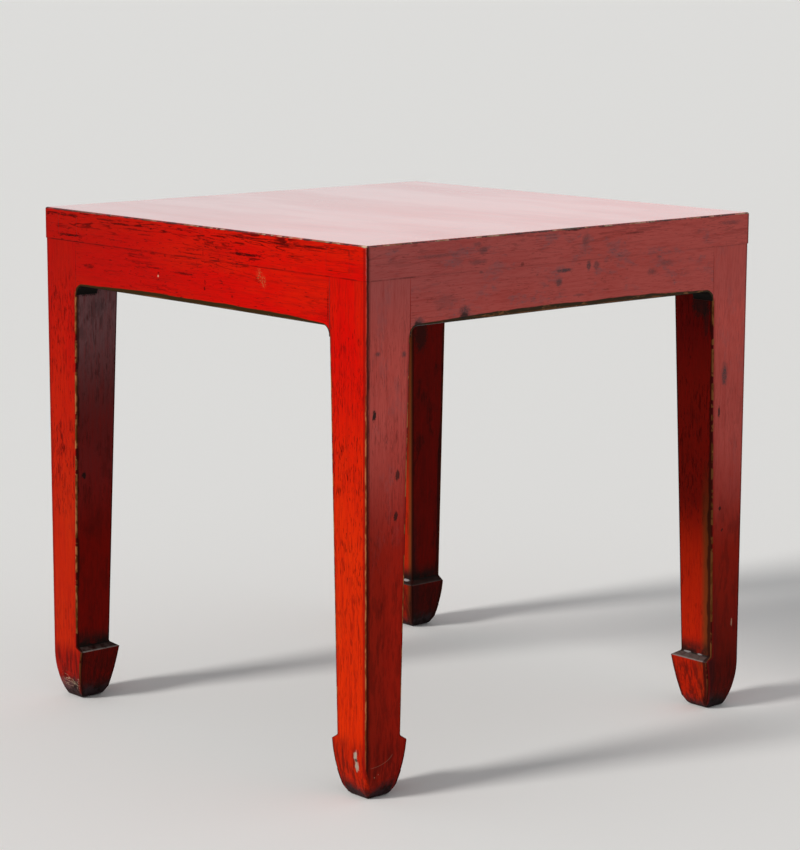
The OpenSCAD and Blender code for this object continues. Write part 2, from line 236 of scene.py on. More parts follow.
class Val:
    """A shader value. Arithmetic on it adds Math nodes."""

    def __init__(self, net, socket):
        self.net, self.socket = net, socket

    def op(self, kind, *others):
        node = self.net.new("ShaderNodeMath")
        node.operation = kind
        for slot, value in zip(node.inputs, (self,) + others):
            self.net.put(slot, value)
        return Val(self.net, node.outputs[0])

    def __add__(self, other):
        return self.op("ADD", other)

    def __sub__(self, other):
        return self.op("SUBTRACT", other)

    def __rsub__(self, other):
        return self.net.value(other).op("SUBTRACT", self)

    def __mul__(self, other):
        return self.op("MULTIPLY", other)

    def __truediv__(self, other):
        return self.op("DIVIDE", other)

    def abs(self):
        return self.op("ABSOLUTE")

    def min(self, other):
        return self.op("MINIMUM", other)

    def max(self, other):
        return self.op("MAXIMUM", other)

    def sign(self):
        return self.op("SIGN")

    def root(self):
        return self.op("SQRT")

    def soft(self, lo, hi, out_lo=0.0, out_hi=1.0):
        """Smooth step from out_lo at lo to out_hi at hi."""
        node = self.net.new("ShaderNodeMapRange")
        node.interpolation_type = "SMOOTHSTEP"
        for slot, value in zip(node.inputs, (self, lo, hi, out_lo, out_hi)):
            self.net.put(slot, value)
        return Val(self.net, node.outputs[0])


class Net:
    """The node tree of one material. Its places are in mm and its directions are the object's."""

    # Parts of a normal along an axis at which a face starts to face that way, and fully does
    FACING, FACING_IN, LEVEL = (0.55, 0.8), (0.5, 0.8), (0.6, 0.85)
    # Distance from the middle at which a side of the stand is wholly left, right, front or rear
    SIDE_REACH = 20
    # How far from its outline, as a share of its size, a spot fades
    SPOT_EDGE, SOFT_SPOT_EDGE = 0.35, 0.55

    def __init__(self, name, axis):
        self.material = bpy.data.materials.new(name)
        self.material.use_nodes = True
        self.tree = self.material.node_tree
        self.tree.nodes.clear()
        place = self.new("ShaderNodeTexCoord")
        scaled = self.new("ShaderNodeVectorMath")
        scaled.operation = "SCALE"
        self.put(scaled.inputs[0], place.outputs["Object"])
        scaled.inputs["Scale"].default_value = 1 / MM
        self.x, self.y, self.z = self.split(scaled.outputs[0])
        self.nx, self.ny, self.nz = self.split(place.outputs["Normal"])
        self.on_x, self.on_y = self.nx.abs().soft(*self.FACING), self.ny.abs().soft(*self.FACING)
        self.on_top = self.nz.soft(*self.LEVEL)
        self.underneath = (self.nz * -1.0).soft(*self.LEVEL)
        self.inward_x = (self.nx * self.x.sign() * -1.0).soft(*self.FACING_IN)
        self.inward_y = (self.ny * self.y.sign() * -1.0).soft(*self.FACING_IN)
        self.left, self.right = self.x.soft(0, -self.SIDE_REACH), self.x.soft(0, self.SIDE_REACH)
        self.front, self.rear = self.y.soft(0, -self.SIDE_REACH), self.y.soft(0, self.SIDE_REACH)
        self.ragged = self.noise(self.even(0.45), 3.0, 0.65) - 0.5
        self.speckle = self.noise(self.grain(axis, 0.35, 1.3, 91.0), 2.0, 0.7) - 0.5

    def new(self, kind):
        return self.tree.nodes.new(kind)

    def put(self, slot, value):
        """Links a value or socket to the slot, or sets a number or colour on it."""
        if isinstance(value, Val):
            value = value.socket
        if isinstance(value, bpy.types.NodeSocket):
            self.tree.links.new(value, slot)
        elif slot.type == "RGBA" and isinstance(value, tuple):
            slot.default_value = value + (1.0,)
        else:
            slot.default_value = value

    def value(self, number):
        node = self.new("ShaderNodeValue")
        node.outputs[0].default_value = number
        return Val(self, node.outputs[0])

    def split(self, socket):
        node = self.new("ShaderNodeSeparateXYZ")
        self.put(node.inputs[0], socket)
        return [Val(self, output) for output in node.outputs]

    def vec(self, x, y, z):
        node = self.new("ShaderNodeCombineXYZ")
        for slot, value in zip(node.inputs, (x, y, z)):
            self.put(slot, value)
        return node.outputs[0]

    def even(self, scale, scale_z=None):
        """Position for a noise without grain: scales are features per mm."""
        return self.vec(self.x * scale, self.y * scale, self.z * (scale_z or scale))

    def grain(self, axis, along, across, shift=0.0):
        """Position for a noise stretched along the grain: scales are features per mm.
        On the front and rear of a rail, the pattern runs on from the stile over the tenon ends."""
        scales = [across, across, across]
        scales["xyz".index(axis)] = along
        if axis == "y":
            scales[0] = self.on_y * (along - across) + across
            scales[1] = self.on_y * (across - along) + along
        return self.vec(self.x * scales[0] + shift, self.y * scales[1] + shift, self.z * scales[2] - shift)

    def noise(self, vector, detail=2.0, rough=0.5, twist=0.0):
        node = self.new("ShaderNodeTexNoise")
        self.put(node.inputs["Vector"], vector)
        node.inputs["Scale"].default_value = 1.0
        node.inputs["Detail"].default_value = detail
        node.inputs["Roughness"].default_value = rough
        node.inputs["Distortion"].default_value = twist
        return Val(self, node.outputs["Fac"])

    def threads(self, vector, width, detail=2.0, rough=0.5, twist=0.0):
        """Thin wavy lines where a noise crosses its middle."""
        return (self.noise(vector, detail, rough, twist) - 0.5).abs().soft(width, width * 0.25)

    def mix(self, amount, low, high):
        node = self.new("ShaderNodeMix")
        node.data_type = "RGBA"
        self.put(node.inputs[0], amount)
        self.put(node.inputs[6], low)
        self.put(node.inputs[7], high)
        return node.outputs[2]

    def spot(self, centre, radii, edge=SPOT_EDGE):
        """1 inside an ellipsoid with a ragged edge, 0 outside."""
        dx = (self.x - centre[0]) / radii[0]
        dy = (self.y - centre[1]) / radii[1]
        dz = (self.z - centre[2]) / radii[2]
        distance = (dx * dx + dy * dy + dz * dz).root()
        return (distance + self.ragged * 1.4 + self.speckle * 1.5).soft(1.0 + edge, 1.0 - edge)

    def finish(self, colour, rough, height, coat=0.0, coat_rough=0.2, specular=0.5):
        """Puts the shader at the end of the tree and returns the material."""
        bump = self.new("ShaderNodeBump")
        bump.inputs["Strength"].default_value = 1.0
        bump.inputs["Distance"].default_value = MM
        self.put(bump.inputs["Height"], height)
        shader = self.new("ShaderNodeBsdfPrincipled")
        self.put(shader.inputs["Base Color"], colour)
        self.put(shader.inputs["Roughness"], rough)
        self.put(shader.inputs["Specular IOR Level"], specular)
        self.put(shader.inputs["Coat Weight"], coat)
        self.put(shader.inputs["Coat Roughness"], coat_rough)
        self.put(shader.inputs["Normal"], bump.outputs[0])
        out = self.new("ShaderNodeOutputMaterial")
        self.put(out.inputs[0], shader.outputs[0])
        return self.material


# Colours of the lacquer: sound, front and rear faces; the deep red also paints shade
FRESH = (0.59, 0.002, 0.0002)
ORANGE = (0.62, 0.028, 0.001)
DEEP = (0.26, 0.004, 0.002)
# Left and right faces: lacquer with a painted bluish reflection, deep red in painted shade below, smudges
# and spots
SIDE_REFLECTION = (0.50, 0.083, 0.069)
LEG_SIDE_REFLECTION = (0.58, 0.088, 0.070)
SIDE_SHADED = (0.30, 0.010, 0.002)
SIDE_RED = (0.50, 0.011, 0.002)
SMUDGE = (0.23, 0.090, 0.095)
SLATE = (0.075, 0.043, 0.046)
# Inner faces of the legs: a painted shadow of the apron above and painted sunlight below on those that look
# front or back; painted shade with a painted bluish reflection above on those that look left or right
INNER_SUNLIT = (0.42, 0.014, 0.002)
INNER_SHADOWED = (0.120, 0.003, 0.002)
INNER_TOP_REFLECTION = (0.195, 0.092, 0.097)
INNER_SIDE_SHADED = (0.170, 0.004, 0.002)
# Age and dirt, some also used for painted shade in hollows and low down, and for a painted highlight on the
# ledges
DARK = (0.020, 0.004, 0.003)
BROWN_BLACK = (0.026, 0.008, 0.009)
WINE = (0.050, 0.0008, 0.0003)
SOOT = (0.010, 0.008, 0.007)
GRIME = (0.026, 0.018, 0.020)
GREY = (0.075, 0.066, 0.060)
DUST_AND_HIGHLIGHT = (0.21, 0.195, 0.18)
# Bare wood and chipped ground, and a painted glint
UMBER = (0.110, 0.036, 0.008)
TAN = (0.36, 0.135, 0.045)
OLIVE = (0.032, 0.017, 0.004)
CREAM = (0.62, 0.46, 0.30)
SCRAPE = (0.37, 0.31, 0.235)
GLINT = (0.60, 0.54, 0.54)
# Stained wood under the top
STAIN, STAIN_LIGHT, STAIN_PORES = (0.10, 0.045, 0.025), (0.17, 0.085, 0.045), (0.03, 0.014, 0.009)

# Gloss of the lacquer and of the stained wood
COAT_ROUGH = 0.155
SPECULAR, SIDE_SPECULAR, TOP_SPECULAR = 0.015, 0.07, 0.10
STAIN_ROUGH, STAIN_SPECULAR = 0.62, 0.3

# Relief of the surface in millimetres
GRAIN_HEIGHT = 0.03
LINE_DEPTH, SEAM_DEPTH, WEAR_DEPTH, CRACK_DEPTH, DENT_DEPTH, PORE_DEPTH = 0.05, 0.05, 0.08, 0.08, 0.04, 0.05


# Sound lacquer, with painted light and shade on its faces

def front_tone(n, axis):
    """Front and rear: orange below; painted shade deepens the red to the left and at the feet; on the inner
    faces, a painted shadow of the apron above and painted sunlight below.
    """
    broad = n.noise(n.grain(axis, 0.010, 0.035, 3.0), 3.0, 0.55)
    warm = (broad.soft(0.42, 0.62) * 0.20 + n.z.soft(310, 130) * 0.80).min(1.0)
    # Painted shade: the red deepens to the left, more so up on the frame, and low on the feet
    shade_left_and_low = n.x.soft(120, -178) * n.z.soft(250, 335, 0.44, 0.62) + n.z.soft(44, 30) * 0.42
    tone = n.mix(shade_left_and_low, n.mix(warm, FRESH, ORANGE), DEEP)
    # Painted shadow of the apron high on the inner faces, painted sunlight lower down
    sunlit_share = n.z.soft(175, 110).max(n.z.soft(290, 225) * 0.26)
    return n.mix(n.inward_y, tone, n.mix(sunlit_share, INNER_SHADOWED, INNER_SUNLIT))


def side_tone(n, axis):
    """Left and right: a painted bluish reflection above that ends near half height, deep red in painted
    shade below.
    """
    # Painted reflection: a bluish sheen on the upper part of the side faces
    drift = n.noise(n.grain(axis, 0.015, 0.045, 21.0), 4.0, 0.6)
    low_end = n.y.soft(-100, 100, -5, 40)
    painted_reflection = (n.z + low_end).soft(150, 250) * drift.soft(0.30, 0.60, 0.78, 1.0) + 0.05
    # Below it, deep red in painted shade
    low = n.mix(n.y.soft(-174, -150) * n.front * 0.55, SIDE_SHADED, SIDE_RED)
    tone = n.mix(painted_reflection, low, n.mix(n.z.soft(310, 280), SIDE_REFLECTION, LEG_SIDE_REFLECTION))
    # Painted shade, darker towards the floor and towards the rear
    foot = n.z.soft(120, -10).max(n.z.soft(45, 20) * 0.9)
    tone = n.mix(foot * n.y.soft(-200, 160, 0.2, 0.80), tone, DARK)
    tone = n.mix(n.y.soft(60, 170) * n.z.soft(300, 230) * 0.16, tone, DARK)
    patch = n.noise(n.grain(axis, 0.035, 0.07, 5.0), 4.0, 0.7)
    smudge = patch.soft(0.52, 0.66) * 0.45 + patch.soft(0.55, 0.61) * n.speckle.soft(0.06, 0.16) * 0.6
    if axis == "z":
        smudge = smudge * 0.5
    tone = n.mix(smudge * n.z.soft(130, 220), tone, SMUDGE)
    tone = n.mix(n.y.soft(70, -170) * n.z.soft(300, 335) * 0.28, tone, SMUDGE)
    return n.mix(n.inward_x, tone, inner_side_tone(n, patch))


def inner_side_tone(n, patch):
    """Inner faces of the legs that look left or right: painted shade, with a painted bluish reflection above
    on the front legs, and dark patches.
    """
    on_front_legs = n.y.soft(0, -60)
    # Painted bluish reflection high on the inner faces of the front legs
    blue_reflection = (n.z.soft(190, 290) * 0.85 + n.z.soft(110, 200) * 0.15) * on_front_legs
    tone = n.mix(blue_reflection, INNER_SIDE_SHADED, INNER_TOP_REFLECTION)
    tone = n.mix(patch.soft(0.50, 0.66) * n.y.soft(-60, 60, 0.35, 0.6), tone, DARK)
    tone = n.mix((n.z.soft(LEDGE_Z, HOOF_H) * 0.50).max(n.y.soft(0, 60) * 0.28), tone, DARK)
    return n.mix(n.z.soft(150, 215) * n.z.soft(280, 225) * on_front_legs * 0.32, tone, DARK)


def face_tone(n, axis):
    """Colour of the sound lacquer with its painted light and shade, and its streaks along the grain."""
    streak = n.noise(n.grain(axis, 0.02, 0.50, 7.0), 3.0, 0.6)
    fine = n.noise(n.grain(axis, 0.09, 1.5, 1.0), 2.0, 0.6)
    colour = n.mix(n.on_x, front_tone(n, axis), side_tone(n, axis))
    if axis == "z":
        mottle = n.noise(n.grain(axis, 0.05, 0.20, 67.0), 3.0, 0.7).soft(0.45, 0.62)
        colour = n.mix(mottle * n.z.soft(190, 120) * n.on_x * 0.30, colour, DARK)
    strong = 1.0 - n.on_x * 0.35
    colour = n.mix(streak.soft(0.46, 0.70) * strong * 0.28, colour, DEEP)
    colour = n.mix(fine.soft(0.48, 0.70) * strong * 0.42, colour, DEEP)
    return n.mix(n.underneath, colour, DARK), streak, fine


# Wear and dirt

def leg_age_lines(n, crowd, torn):
    """Hairlines and ticks along a leg: fewer on the left and right faces and near the foot."""
    thread = n.threads(n.grain("z", 0.012, 0.34, 31.0), 0.045, 3.0, 0.6, 0.2)
    tick = n.noise(n.grain("z", 0.17, 1.35, 47.0), 2.0, 0.65)
    threads = thread * torn.soft(0.47, 0.57) * crowd.soft(0.36, 0.58) * n.z.soft(110, 150, 0.55, 0.85)
    threads = threads * (1.0 - n.on_x * n.y.soft(0, 20, 0.35, 0.70))
    ticks = (tick - crowd.soft(0.35, 0.62, 0.63, 0.565)).soft(0.0, 0.05)
    ticks = ticks * (1.0 - n.on_x * n.y.soft(0, 20, 0.62, 0.80)) * n.z.soft(120, 150, 0.35, 1.0)
    return threads, ticks * (1.0 - n.inward_x * 0.45)


def level_age_lines(n, axis, crowd, torn):
    """Hairlines and ticks along a frame member or apron: most near the top, fewer at the right end."""
    thread = n.threads(n.grain(axis, 0.013, 0.20, 31.0), 0.040, 3.0, 0.55, 0.6)
    tick = n.noise(n.grain(axis, 0.16, 1.2, 47.0), 2.0, 0.65)
    high = n.z.soft(333, 352)
    room = (crowd.soft(0.44, 0.60) * 0.5).max(high * crowd.soft(0.34, 0.48))
    on_front = n.on_y * n.x.soft(95, 150, 1.0, 0.45)
    threads = thread * torn.soft(0.40, 0.50) * room * (on_front + n.on_x * 0.35)
    ticks = (tick - (crowd.soft(0.38, 0.62, 0.655, 0.592) - high * 0.006)).soft(0.0, 0.05)
    return threads, ticks * (on_front + n.on_x * 0.40)


def age_lines(n, axis):
    """Dark hairlines and ticks along the grain, gathered in patches."""
    crowd = n.noise(n.even(0.022, 0.040), 3.0, 0.55)
    torn = n.noise(n.grain(axis, 0.11, 0.35, 13.0), 2.0, 0.6)
    if axis == "z":
        threads, ticks = leg_age_lines(n, crowd, torn)
    else:
        threads, ticks = level_age_lines(n, axis, crowd, torn)
    return threads.max(ticks * 0.9)


def outer_corner(n, out_x, out_y, strength):
    """Masks at an upright outer corner: a bare thread on the front, black beside it on the side."""
    across = out_x - out_y
    ragged = n.noise(n.grain("z", 0.10, 0.02, 17.0), 3.0, 0.6)
    shift = ragged.soft(0.30, 0.70, -0.25, 0.25)
    near = out_x.min(out_y).soft(2.0, 1.3)
    thread = (across - shift - 1.05).abs().soft(0.85, 0.35) * near * strength
    black = (across - shift + 0.55).abs().soft(1.25, 0.75) * near
    tail = (across + 1.6).abs().soft(1.5, 0.6) * near * 0.45
    soft_red = (across - 2.4).abs().soft(1.8, 0.4) * near * 0.8
    return thread, black.max(tail), soft_red


def turned_in(n):
    """Distance by which the outer faces of a leg have turned in at the foot, close to an arc."""
    below_turn = (TURN_H - n.z).max(0.0)
    return below_turn * below_turn / (2 * TURN_R)


def inner_width(n):
    """The width of leg_inner_width for the shader, with a smooth step at the ledge."""
    taper = (n.z - LEDGE_Z) / (TAPER_TOP - LEDGE_Z)
    shank = taper.max(0.0).min(1.0) * (LEG_W - ANKLE_W) + ANKLE_W
    hoof = (n.z / HOOF_H).min(1.0) * (HOOF_W - SOLE_W) + SOLE_W
    return shank + (hoof - shank) * n.z.soft(LEDGE_Z, HOOF_H)


def leg_wear(n, out_x, out_y):
    """Masks of the bare wood, the dirt, the soft darkening and the brown bands on the arrises of a leg."""
    width, turned = inner_width(n), turned_in(n)
    below = n.z.soft(TAPER_TOP + 4, TAPER_TOP - 1)
    slim = n.z.soft(LEDGE_Z, 70, 0.45, 1.0)
    low_fade = n.z.soft(LEDGE_Z - 4, LEDGE_Z + 8, 0.5, 1.0) * n.z.soft(8, 24, 0.1, 1.0)
    bare, dark, shade = n.value(0.0), n.value(0.0), n.value(0.0)
    for seed, into, beside, share in [
        (3.0, width - out_x, out_y - turned, 0.55),
        (5.0, width - out_y, out_x - turned, 0.48),
    ]:
        along = n.noise(n.grain("z", 0.030, 0.02, seed), 3.0, 0.7)
        nick = n.noise(n.grain("z", 0.075, 0.05, seed + 11), 3.0, 0.65)
        kept = (nick + along * 0.5).soft(0.74 + share * 0.2, 0.68 + share * 0.2)
        reach = nick.soft(0.30, 0.70, 0.75, 1.15) * slim
        gold = (into - reach * 1.25).soft(0.4, -0.3) * beside.soft(1.3, 0.7) * kept
        bare = bare.max(gold * below * low_fade)
        wide = along.soft(0.35, 0.65, 1.4, 3.0) + n.rear * n.z.soft(200, 160) * 1.5
        hollow = (beside - wide).soft(0.8, -0.8) * into.abs().soft(1.2, 0.6)
        dark = dark.max(hollow * below * 0.9)
        shade = shade.max(into.soft(3.8, 0.6) * beside.soft(1.2, 0.6) * below * 0.6)
    inmost = (out_x - width).abs().max((out_y - width).abs())
    dark = dark.max(inmost.soft(1.9, 0.7) * below * 0.85)
    # Broad brown bands: beside the inner arris of the left legs, low on the right legs
    band = (width - out_x).abs().soft(7.0, 1.5) * n.inward_y * n.left
    low_band = (out_x - turned).soft(12.0, 4.5) * n.inward_y * n.right * n.z.soft(190, 130)
    band = band.max(low_band * n.z.soft(HOOF_H - 6, LEDGE_Z, 0.3, 1.0))
    thread, black, soft_red = outer_corner(n, out_x, out_y, n.z.soft(290, 240, 0.15, 0.9) * n.z.soft(15, 40))
    return bare.max(thread), dark.max(black), shade.max(soft_red), band


def hoof_dirt_and_painted_light(n, colour, out_x, out_y):
    """Dirt and painted light on a foot: dark streaks, dust and a painted highlight along the tip of the
    ledge, grime and painted shade in the hollow above it, and a black sole edge.
    """
    soil = n.noise(n.grain("z", 0.045, 0.40, 41.0), 3.0, 0.65)
    blot = n.noise(n.even(0.18), 3.0, 0.7)
    hoof = n.z.soft(LEDGE_Z + 8, HOOF_H - 10)
    rear_left = n.left * n.rear
    colour = n.mix(soil.soft(0.42, 0.60) * hoof * (0.60 - n.on_x * 0.25), colour, DARK)
    colour = n.mix(hoof * rear_left * 0.45, colour, DARK)

    ledge = n.z.soft(HOOF_H - 0.3, HOOF_H + 0.3) * n.nz.soft(0.30, 0.55)
    grey = (blot.soft(0.35, 0.70) * 0.8 + n.y.soft(0, 50) * 0.6) * (1.0 - rear_left * 0.95)
    # Dust and a painted highlight along the tip of the ledge
    tip_dust_and_highlight = n.z.soft(HOOF_H + 1.0, HOOF_H + 0.3) * blot.soft(0.30, 0.50, 0.4, 1.0)
    dusty = n.mix(tip_dust_and_highlight * (1.0 - rear_left * 0.85), n.mix(grey, SOOT, GREY), DUST_AND_HIGHLIGHT)
    colour = n.mix(ledge * 0.95, colour, dusty)

    # Grime and painted shade in the hollow above the ledge
    inner = n.inward_x.max(n.inward_y)
    hollow = n.z.soft(HOOF_H + 1, LEDGE_Z) * n.z.soft(LEDGE_Z + 14, LEDGE_Z + 1)
    colour = n.mix(hollow * inner * blot.soft(0.25, 0.55, 0.5, 0.95), colour, SOOT)

    corner = (out_x + out_y).soft(6, 26, 4.0, 10.0)
    front_left = n.left * n.front * n.on_y * 5.5
    sole = (n.z + n.ragged * 7 - corner - front_left + n.inward_y * 5.0).soft(6, -5)
    return n.mix(sole * 0.95, colour, n.mix(blot.soft(0.40, 0.60), SOOT, GRIME))


def hoof_scratches(n, colour):
    """Thin scratches: an arc on the front right foot, wavy ones on the front left foot."""
    across, up = (n.y - ARC_Y) / ARC_HALF_Y, (n.z - ARC_Z) / ARC_HALF_Z
    arc = ((across * across + up * up).root() - 1.0).abs().soft(0.045, 0.015)
    arc = arc * n.z.soft(29.5, 27.5) * n.y.soft(-175, -172) * n.on_x * n.x.soft(0, 1)
    wavy = n.threads(n.even(0.10, 0.26), 0.035, 2.0, 0.6, 0.8)
    wavy = wavy * n.spot(WAVY_CENTRE, WAVY_RADII) * n.on_y
    return n.mix(arc * 0.09 + wavy * 0.42, colour, CREAM)


def aged_leg(n, colour):
    """Colour of a leg with its bands, dirt and scratches, and the masks of its worn arrises."""
    out_x, out_y = BODY_W / 2 - n.x.abs(), BODY_D / 2 - n.y.abs()
    bare, dark, shade, band = leg_wear(n, out_x, out_y)
    colour = n.mix(band * 0.8, colour, UMBER)
    beside_arris = (LEG_W - 6.0 - out_y).soft(9.0, 2.0) * n.on_x * n.rear
    colour = n.mix(beside_arris * n.z.soft(120, 50) * 0.55, colour, BROWN_BLACK)
    colour = hoof_scratches(n, hoof_dirt_and_painted_light(n, colour, out_x, out_y))
    return colour, bare, dark, shade


def above_apron_edge(n, along, half):
    """Height above the lower edge of an apron: a shallow arch that ends in a tight turn down."""
    turn = half - CORNER_R - FEATHER
    arch = ARCH_RISE - (along / turn) * (along / turn) * ARCH_RISE + APRON_Z
    across, up = (along - turn).max(0.0), n.z - (APRON_Z - CORNER_R)
    outside_turn = (across * across + up * up).root() - CORNER_R
    return (n.z - arch) + (outside_turn - (n.z - arch)) * along.soft(turn - 0.5, turn + 0.5)


def aged_apron(n, axis, colour, broken):
    """Colour of an apron, and the masks of its bare flakes and of the cracks beside the legs. Its lower
    edge is worn to a dark ground, widest in the middle, with a bare thread at the bottom."""
    if axis == "x":
        along, flush, half = n.x.abs(), n.on_y, BODY_W / 2 - LEG_W
    else:
        along, flush, half = n.y.abs(), n.on_x, BODY_D / 2 - LEG_W
    lower = above_apron_edge(n, along, half)
    wave = n.noise(n.grain(axis, 0.02, 0.02, 27.0), 3.0, 0.6)
    band = along.soft(half, half - 70, 1.8, 3.5) + wave.soft(0.35, 0.65, -0.4, 0.4)
    ground = (lower - band).soft(0.4, -0.3)
    colour = n.mix(ground, colour, n.mix(flush, SOOT, OLIVE))
    fringe = lower.soft(band * 0.45, 0.0) * wave.soft(0.38, 0.50, 0.35, 1.0)
    gold = n.mix(wave.soft(0.45, 0.60), UMBER, TAN)
    colour = n.mix(fringe * flush * along.soft(half, half - 25) * 0.75, colour, gold)
    flake = n.noise(n.grain(axis, 0.10, 0.50, 53.0), 3.0, 0.65).soft(0.54, 0.60)
    bare = flake * ground * n.on_x * flush * 0.45
    crack = (half - along).soft(0.75, 0.25) * flush * n.z.soft(FRAME_Z + 2, FRAME_Z - 12, 0.1, 0.85)
    dark = crack * (1.0 - n.on_x * 0.5) * broken.soft(0.40, 0.55, 0.35, 1.0)
    return colour, bare, dark


def frame_wear(n, axis):
    """Masks of the frame: its rim worn black with pale stretches, and its outer corners."""
    edge_x, edge_y = TOP_W / 2 - n.x.abs(), TOP_D / 2 - n.y.abs()
    rim_top = (STAND_H - n.z).max(edge_x.min(edge_y))
    nick = n.noise(n.grain(axis, 0.10, 0.05, 29.0), 3.0, 0.7)
    dark = (rim_top - nick.soft(0.30, 0.70, 0.7, 1.25)).soft(0.3, -0.2) * nick.soft(0.36, 0.44, 0.65, 1.0)
    pale = n.noise(n.grain(axis, 0.045, 0.02, 37.0), 3.0, 0.7).soft(0.49, 0.53)
    bare = rim_top.soft(1.2, 0.6) * pale * n.x.soft(-120, 40, 0.25, 1.0) * 0.7
    thread, black, shade = outer_corner(n, edge_x, edge_y, 0.06)
    return bare.max(thread), dark.max(black), shade


def tenon_crack(n):
    """Mask of the hair cracks round the end of each through tenon."""
    beside = (n.x.abs() - TENON_X).abs() - TENON_W / 2
    above = (n.z - TENON_Z).abs() - TENON_T / 2
    outline = beside.max(above).abs().soft(0.5, 0.15) * n.on_y
    return outline * n.noise(n.grain("z", 0.15, 0.15, 71.0), 2.0, 0.6).soft(0.48, 0.62)


def worn_tone(n, axis, kind):
    """Colour of the bare wood: browner on the rear legs and the feet, paler on the frame."""
    tint = n.noise(n.grain(axis, 0.12, 0.3, 51.0), 2.0, 0.6).soft(0.40, 0.60)
    if kind == "leg":
        tint = tint.max(n.rear * n.z.soft(200, 160, 0.55, 0.8)).max(n.z.soft(60, 30) * 0.7)
    return n.mix(tint, TAN, CREAM if kind == "member" else UMBER)


def add_marks(n, axis, colour, height, marks):
    """The single marks of a piece, each broken up in the way of its colour."""
    grit = n.noise(n.even(0.9), 2.0, 0.6)
    hair = n.noise(n.grain(axis, 0.12, 1.9, 77.0), 2.0, 0.6)
    broken_up = {
        TAN: grit.soft(0.50, 0.57),
        SLATE: grit.soft(0.36, 0.58, 0.55, 1.0),
        WINE: hair.soft(0.38, 0.50, 0.25, 1.0),
    }
    for centre, radii, mark_colour, amount in marks:
        edge = n.SOFT_SPOT_EDGE if mark_colour is SLATE else n.SPOT_EDGE
        mask = n.spot(centre, radii, edge) * broken_up.get(mark_colour, 1.0) * amount
        colour = n.mix(mask, colour, mark_colour)
        height = height - mask * DENT_DEPTH
    return colour, height


# Materials

def lacquer(name, axis, kind, marks=()):
    """Worn red lacquer. The axis is the grain's; kind is leg, apron, member or board."""
    n = Net(name, axis)
    colour, streak, fine = face_tone(n, axis)
    calm = n.z.soft(TAPER_TOP - 10, FRAME_Z, 1.0, 0.25) if kind == "leg" else n.value(1.0)
    lines = age_lines(n, axis) * (1.0 - n.on_top) * calm
    colour = n.mix(lines * 0.85, colour, n.mix(n.on_x, WINE, DARK))
    relief = lines * -LINE_DEPTH + fine * GRAIN_HEIGHT + streak * GRAIN_HEIGHT
    height = relief * (1.0 - n.on_top * 0.93)

    # Joint between the frame and what stands under it
    broken = n.noise(n.grain("x", 0.05, 0.05, 81.0), 3.0, 0.65)
    seam = (n.z - FRAME_Z).abs().soft(0.75, 0.25) * broken.soft(0.40, 0.60, 0.0, 0.95)
    seam = seam * (1.0 - n.on_x * n.y.soft(-145, -120) * 0.7)

    bare, dark, shade = n.value(0.0), n.value(0.0), n.value(0.0)
    if kind == "leg":
        colour, bare, dark, shade = aged_leg(n, colour)
    if kind == "apron":
        colour, bare, dark = aged_apron(n, axis, colour, broken)
    if kind == "member":
        bare, dark, shade = frame_wear(n, axis)
        crack = tenon_crack(n)
        colour = n.mix(crack * 0.6, colour, DARK)
        height = height - crack * CRACK_DEPTH
    colour = n.mix(shade, colour, DEEP)
    colour = n.mix(dark.max(seam * 0.6) * 0.9, colour, DARK)
    colour = n.mix(bare, colour, worn_tone(n, axis, kind))
    height = height - dark * WEAR_DEPTH - bare * WEAR_DEPTH - seam * SEAM_DEPTH
    colour, height = add_marks(n, axis, colour, height, marks)

    smear = n.noise(n.grain("x", 0.006, 0.018, 61.0), 3.0, 0.5)
    rough = smear.soft(0.35, 0.70, 0.30, 0.40) + dark * 0.3 + bare * 0.25 + lines * 0.2
    specular = n.on_x * n.z.soft(120, 250) * (1.0 - n.inward_x) * SIDE_SPECULAR + SPECULAR
    if kind not in ("member", "board"):
        return n.finish(colour, rough, height, specular=specular)
    coat = n.on_top * smear.soft(0.30, 0.75, 0.890, 0.868) * n.x.soft(-178, -60, 0.955, 1.0)
    return n.finish(colour, rough, height, coat, COAT_ROUGH, specular + n.on_top * TOP_SPECULAR)


def stained_wood(name, axis):
    """Dark stained wood of the pieces under the top."""
    n = Net(name, axis)
    broad = n.noise(n.grain(axis, 0.01, 0.10, 2.0), 3.0, 0.6)
    pores = n.noise(n.grain(axis, 0.08, 1.8, 4.0), 2.0, 0.5)
    colour = n.mix(broad.soft(0.35, 0.65), STAIN, STAIN_LIGHT)
    colour = n.mix(pores.soft(0.55, 0.70) * 0.7, colour, STAIN_PORES)
    height = pores * -PORE_DEPTH + broad * PORE_DEPTH
    return n.finish(colour, STAIN_ROUGH, height, specular=STAIN_SPECULAR)


# Marks of age, and a few painted glints and a painted shade

MARK_REACH = 3.0


def front_marks(face_y, rows):
    """Marks on a front face: each row holds x, z, half width, half height in mm, colour and strength."""
    return [
        ((x, face_y, z), (half_x, MARK_REACH, half_z), colour, strength)
        for x, z, half_x, half_z, colour, strength in rows
    ]


def right_marks(face_x, rows):
    """Marks on a right-hand face: each row holds y, z, half width, half height, colour and strength."""
    return [
        ((face_x, y, z), (MARK_REACH, half_y, half_z), colour, strength)
        for y, z, half_y, half_z, colour, strength in rows
    ]


CRACK_BY_TENON = front_marks(-TOP_D / 2, [(-144.0, 339.2, 14.0, 0.8, WINE, 0.9)])
# A worn near top corner with a painted glint on it
WORN_CORNER_GLINT = [((171.8, -177.4, 356.4), (2.7, 1.2, 0.8), CREAM, 0.8)]

